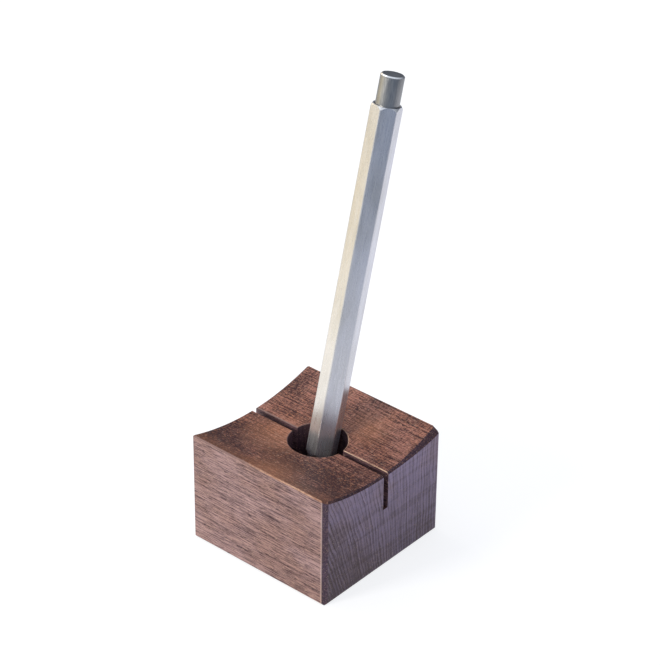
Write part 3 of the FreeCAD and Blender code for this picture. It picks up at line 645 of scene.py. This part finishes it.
nose = turn_profile("turned_nose", [
    (POINT_BORE_RADIUS, 0),
    (SNOUT_RADIUS - SNOUT_EDGE, 0),
    (SNOUT_RADIUS, SNOUT_EDGE_HEIGHT),
    (SNOUT_RADIUS, SNOUT_LENGTH),
    (SHOULDER_RADIUS - SHOULDER_EDGE, SNOUT_LENGTH),
    (SHOULDER_RADIUS, SNOUT_LENGTH + SHOULDER_EDGE),
    (TAPER_RADIUS, TAPER_TOP),
    (SPIGOT_RADIUS, TAPER_TOP),
    (SPIGOT_RADIUS, SPIGOT_TOP),
    (SPRING_CHAMBER_RADIUS, SPIGOT_TOP),
    (SPRING_CHAMBER_RADIUS, SPRING_CHAMBER_FLOOR),
    (POINT_BORE_RADIUS, SPRING_CHAMBER_FLOOR)], ring=True)
bpy.ops.object.shade_smooth_by_angle(angle=math.radians(25))
lean_into_hole(nose)
nose.data.materials.append(polish(
    "turned_nose_steel", screen_colour(208, 208, 210), screen_colour(184, 184, 190),
    roughness=0.26, line_length=0.15, line_scale=5.0))
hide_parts("nose_cone")
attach(nose, "pen")

# ----------------------------------------------------------------------------------------------
# The button: turned from round bar, with a bright chamfer round its flat top and a blind socket
# below that is pressed on to the plunger.
# ----------------------------------------------------------------------------------------------

BUTTON_RADIUS = 3.4 * MM
BUTTON_FOOT = 107.4 * MM
BUTTON_TOP = 123.0 * MM
BUTTON_EDGE = 0.35 * MM
SOCKET_RADIUS = 2.0 * MM
SOCKET_TOP = 115.45 * MM

button = turn_profile("round_button", [
    (SOCKET_RADIUS, SOCKET_TOP),
    (SOCKET_RADIUS, BUTTON_FOOT),
    (BUTTON_RADIUS, BUTTON_FOOT),
    (BUTTON_RADIUS, BUTTON_TOP - BUTTON_EDGE),
    (BUTTON_RADIUS - BUTTON_EDGE, BUTTON_TOP)], sides=128)
bpy.ops.object.shade_smooth_by_angle(angle=math.radians(25))
turned_faces = [face.index for face in button.data.polygons if 0.5 < face.normal.z < STRAIGHT]
lean_into_hole(button)
button.data.materials.append(polish(
    "satin_button", screen_colour(178, 178, 176), screen_colour(142, 143, 143),
    roughness=0.36, line_length=14.0, line_scale=6.0, lined=0.6))
button.data.materials.append(bright_edge)
for index in turned_faces:
    button.data.polygons[index].material_index = 1
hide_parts("push_button")
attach(button, "button")

# ----------------------------------------------------------------------------------------------
# The click mechanism: a ribbed plunger and a cam rotor, both moulded, one white and one dark blue.
# The rotor and the plug below it are of the same plastic. The plunger is pressed into the button.
# ----------------------------------------------------------------------------------------------


def refinish(node, material):
    """Puts a material in every slot of a CAD part."""
    for slot in cad[node].material_slots:
        slot.material = material


def mould(node, name, colour, shade, roughness):
    """Gives a CAD part a moulded plastic with faint flow marks and a fine bloom."""
    material = bpy.data.materials.new(name)
    tree, surface, place = start_material(material)
    spot = in_millimetres(tree, place)
    flow = speckle(tree, spot, (1, 1, 4), 0.5, detail=3)
    bloom = speckle(tree, spot, (1, 1, 1), 6.0, detail=2)
    bump = add_node(tree, "Bump", {"Strength": 0.3, "Distance": 0.02 * MM, "Height": bloom})
    feed(tree, surface, {
        "Base Color": blend_colours(tree, grade(tree, flow, 0.35, 0.65), colour, shade),
        "Roughness": grade(tree, bloom, 0.3, 0.7, roughness, roughness + 0.12),
        "Normal": bump.outputs[0],
    })
    refinish(node, material)


mould("plunger", "white_acetal", screen_colour(238, 238, 234), screen_colour(226, 226, 220), 0.35)
mould("cam_rotor", "blue_acetal", screen_colour(42, 50, 84), screen_colour(34, 40, 70), 0.4)
mould("end_plug", "blue_plug", screen_colour(46, 54, 88), screen_colour(36, 42, 72), 0.45)

# ----------------------------------------------------------------------------------------------
# The refill: a drawn steel tube with a steel stop ring and a brass tip pressed on, and a hard ball
# in the tip. A brass sleeve in the barrel guides the mechanism above it.
# ----------------------------------------------------------------------------------------------

drawn_tube = polish(
    "drawn_tube", screen_colour(206, 206, 204), screen_colour(180, 180, 180),
    roughness=0.22, line_length=30.0, line_scale=6.0)
turned_brass = polish(
    "turned_brass", screen_colour(226, 194, 124), screen_colour(198, 160, 92),
    roughness=0.24, line_length=0.2, line_scale=5.0)
hard_ball = polish(
    "hard_ball", screen_colour(190, 190, 194), screen_colour(168, 168, 174),
    roughness=0.12, line_length=1.0, line_scale=9.0)
refinish("refill_tube", drawn_tube)
refinish("spring_collar", drawn_tube)
refinish("refill_tip", turned_brass)
refinish("guide_sleeve", turned_brass)
refinish("writing_ball", hard_ball)

# ----------------------------------------------------------------------------------------------
# The return spring: round spring wire coiled round the refill. It stands on the nose's inner floor,
# under the stop ring.
# ----------------------------------------------------------------------------------------------

WIRE_RADIUS = 0.18 * MM
COIL_RADIUS = 1.9 * MM
COIL_FOOT = 4.3 * MM
COIL_LENGTH = 17.4 * MM
COIL_TURNS = 11
STEPS_PER_TURN = 28
WIRE_SIDES = 10

bpy.ops.mesh.primitive_circle_add(
    vertices=WIRE_SIDES, radius=WIRE_RADIUS, location=(COIL_RADIUS, 0, COIL_FOOT + WIRE_RADIUS),
    rotation=(math.pi / 2, 0, 0))
spring = name_new("return_spring_coil")
apply_modifier(spring, "SCREW", axis="Z", angle=math.tau, iterations=COIL_TURNS,
               screw_offset=(COIL_LENGTH - 2 * WIRE_RADIUS) / COIL_TURNS,
               steps=STEPS_PER_TURN, render_steps=STEPS_PER_TURN)
bpy.ops.object.mode_set(mode="EDIT")
bpy.ops.mesh.select_all(action="SELECT")
bpy.ops.mesh.remove_doubles(threshold=0.001 * MM)
bpy.ops.mesh.select_mode(type="EDGE")
bpy.ops.mesh.select_all(action="DESELECT")
bpy.ops.mesh.select_non_manifold()
bpy.ops.mesh.fill_holes(sides=0)
bpy.ops.mesh.select_all(action="SELECT")
bpy.ops.mesh.normals_make_consistent(inside=False)
bpy.ops.object.mode_set(mode="OBJECT")
bpy.ops.object.shade_smooth_by_angle(angle=math.radians(50))
lean_into_hole(spring)
spring.data.materials.append(polish(
    "spring_wire", screen_colour(196, 196, 198), screen_colour(160, 160, 166),
    roughness=0.25, line_length=1.0, line_scale=8.0))
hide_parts("return_spring")
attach(spring, "pen")
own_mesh(spring)

# ----------------------------------------------------------------------------------------------
# The floor, the backdrop, the lamps and the camera
# ----------------------------------------------------------------------------------------------

PAPER_SIZE = 1.0
PAPER_ROUNDING = 0.2
bpy.ops.mesh.primitive_plane_add(size=PAPER_SIZE, location=(-0.2, -0.1, 0))
floor = name_new("floor")
bpy.ops.object.mode_set(mode="EDIT")
bpy.ops.mesh.select_all(action="SELECT")
bpy.ops.mesh.bevel(offset=PAPER_ROUNDING, segments=12, affect="VERTICES")
bpy.ops.object.mode_set(mode="OBJECT")
floor.location.z = -0.02 * MM
paper = bpy.data.materials.new("white_paper")
tree, surface, place = start_material(paper)
rays = add_node(tree, "LightPath").outputs
feed(tree, surface, {
    "Base Color": screen_colour(236, 236, 238),
    "Roughness": grade(tree, speckle(tree, place, (1, 1, 1), 300.0), 0.3, 0.7, 0.75, 0.9)})
# The paper glows for glossy rays, a painted reflection that metal sees: white in front, creamy far
# to the left, dim far to the right and behind on the left, and cool straight behind.
ahead = add_node(tree, "VectorMath", {0: place}, operation="LENGTH").outputs["Value"]
sheet = add_node(tree, "SeparateXYZ", {0: place}).outputs
heading = compute(tree, "ARCTAN2", sheet["X"], compute(tree, "MULTIPLY", sheet["Y"], -1.0))
to_left = blend_colours(
    tree, grade(tree, ahead, 0.16, 0.44), (1.38, 1.34, 1.24, 1), (1.04, 0.84, 0.46, 1))
to_right = blend_colours(
    tree, grade(tree, ahead, 0.18, 0.42), (0.98, 1.0, 1.1, 1), (0.42, 0.45, 0.54, 1))
in_front = blend_colours(
    tree, grade(tree, ahead, 0.3, 0.85), (0.94, 0.95, 0.95, 1), (1.08, 1.06, 1.0, 1))
gleam = blend_colours(tree, grade(tree, heading, -0.86, -0.62), to_left, in_front)
gleam = blend_colours(tree, grade(tree, heading, 0.5, 0.82), gleam, to_right)
behind = blend_colours(
    tree, grade(tree, sheet["X"], 0.0, -0.06), (0.98, 0.99, 1.08, 1), (0.58, 0.60, 0.66, 1))
gleam = blend_colours(tree, grade(tree, sheet["Y"], -0.02, 0.03), gleam, behind)
gleam = blend_colours(tree, rays["Is Camera Ray"], gleam, (1.25, 1.25, 1.25, 1))
glow = add_node(tree, "Emission", {"Color": gleam, "Strength": 1.0})
seen = compute(tree, "MULTIPLY", rays["Is Camera Ray"], 0.62)
seen = compute(tree, "MULTIPLY_ADD", rays["Is Glossy Ray"], 0.9, seen)
veil = add_node(tree, "MixShader", {0: seen, 1: surface.outputs[0], 2: glow.outputs[0]})
tree.links.new(veil.outputs[0], tree.nodes["Material Output"].inputs["Surface"])
floor.data.materials.append(paper)

world = bpy.data.worlds.new("studio")
world.use_nodes = True
world.node_tree.nodes.clear()
bpy.context.scene.world = world
tree = world.node_tree
rays = add_node(tree, "LightPath").outputs
facing = add_node(tree, "SeparateXYZ", {0: add_node(tree, "TexCoord").outputs["Generated"]}).outputs
upward, backward = facing["Z"], facing["Y"]
round_about = blend_colours(
    tree, grade(tree, backward, -0.2, 0.6), (0.18, 0.23, 0.33, 1), (0.10, 0.11, 0.14, 1))
air_colour = blend_colours(
    tree, grade(tree, upward, 0.1, 0.95), round_about, (0.72, 0.79, 0.92, 1))
air = add_node(tree, "Background", {"Color": air_colour, "Strength": 1.0})
white = add_node(tree, "Background", {"Color": (1, 1, 1, 1), "Strength": 1.0})
sky = add_node(tree, "MixShader", {
    0: rays["Is Camera Ray"], 1: air.outputs[0], 2: white.outputs[0]})
add_node(tree, "OutputWorld", {"Surface": sky.outputs[0]})


LAMP_AIM = Vector((0, 0, 50)) * MM


def hang_lamp(name, direction, distance, size, power, colour):
    """A soft box that faces the object."""
    toward = Vector(direction).normalized()
    bpy.ops.object.light_add(type="AREA", location=toward * distance + LAMP_AIM)
    lamp = bpy.context.object
    lamp.name = name
    lamp.rotation_euler = toward.to_track_quat("Z", "Y").to_euler()
    lamp.data.shape = "RECTANGLE"
    lamp.data.size, lamp.data.size_y = size
    lamp.data.energy = power
    lamp.data.color = colour


hang_lamp("key", direction=(-0.305, -0.837, 0.454), distance=1.0, size=(0.24, 0.24), power=5.4,
          colour=(1.0, 0.94, 0.84))
hang_lamp("window", direction=(-0.96, -0.17, 0.25), distance=0.9, size=(1.6, 0.56), power=3.4,
          colour=(1.0, 0.86, 0.60))
hang_lamp("skylight", direction=(-0.70, -0.06, 0.71), distance=1.0, size=(0.4, 0.7), power=1.5,
          colour=(1.0, 0.98, 0.95))

AZIMUTH = math.radians(40.62)
ELEVATION = math.radians(31.76)
ROLL = math.radians(0.64)
VIEW_DISTANCE = 673.35 * MM
NEAREST_SEEN = 10 * MM
FOCAL_LENGTH = 132.03
TARGET = Vector((2.62, 2.40, 68.14)) * MM
turn = (Matrix.Rotation(AZIMUTH, 4, "Z") @ Matrix.Rotation(math.pi / 2 - ELEVATION, 4, "X")
        @ Matrix.Rotation(ROLL, 4, "Z"))
bpy.ops.object.camera_add()
camera = bpy.context.object
eye = TARGET + turn.to_3x3() @ Vector((0, 0, VIEW_DISTANCE))
camera.matrix_world = Matrix.Translation(eye) @ turn
camera.data.lens = FOCAL_LENGTH
camera.data.clip_start = NEAREST_SEEN
bpy.context.scene.camera = camera
bpy.context.scene.view_settings.view_transform = "Standard"

bpy.context.view_layer.update()
